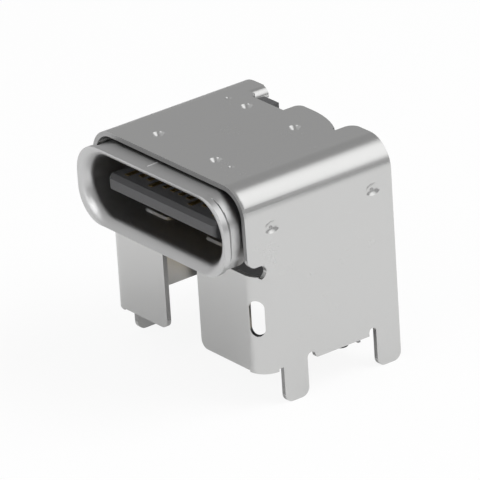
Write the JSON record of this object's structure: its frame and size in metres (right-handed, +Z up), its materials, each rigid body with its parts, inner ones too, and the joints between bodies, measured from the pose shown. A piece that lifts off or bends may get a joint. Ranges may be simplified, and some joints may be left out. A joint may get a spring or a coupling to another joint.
{
  "type": "usb-c socket",
  "caption": "Raised right-angle usb-c socket: a flared oval mouth in a folded metal shell that stands on solder legs, with a contact tongue inside.",
  "frame": {"origin": "point on the board's surface under the middle of the mouth's lip", "axes": "+Z up, away from the board; the mouth faces -Y; +X towards the right seen from the mouth"},
  "size_m": [0.0096, 0.008, 0.0092],
  "materials": {
    "shell": "smooth nickel plate, satin",
    "lip": "drawn nickel plate, semi-bright",
    "steel": "bare stainless, satin",
    "contact": "gold plate",
    "moulding": "black glass-filled moulding"
  },
  "bodies": {
    "root": {"outer_shell": "shell", "inner_shell": "lip", "rear_cover": "shell", "tongue": "moulding", "housing": "moulding", "mid_plate": "steel", "ground_plate_upper": "steel", "ground_plate_lower": "steel", "contact_a1": "contact", "contact_a2": "contact", "contact_a3": "contact", "contact_a4": "contact", "contact_a5": "contact", "contact_a6": "contact", "contact_a7": "contact", "contact_a8": "contact", "contact_a9": "contact", "contact_a10": "contact", "contact_a11": "contact", "contact_a12": "contact", "contact_b1": "contact", "contact_b2": "contact", "contact_b3": "contact", "contact_b4": "contact", "contact_b5": "contact", "contact_b6": "contact", "contact_b7": "contact", "contact_b8": "contact", "contact_b9": "contact", "contact_b10": "contact", "contact_b11": "contact", "contact_b12": "contact"}
  },
  "joints": []
}
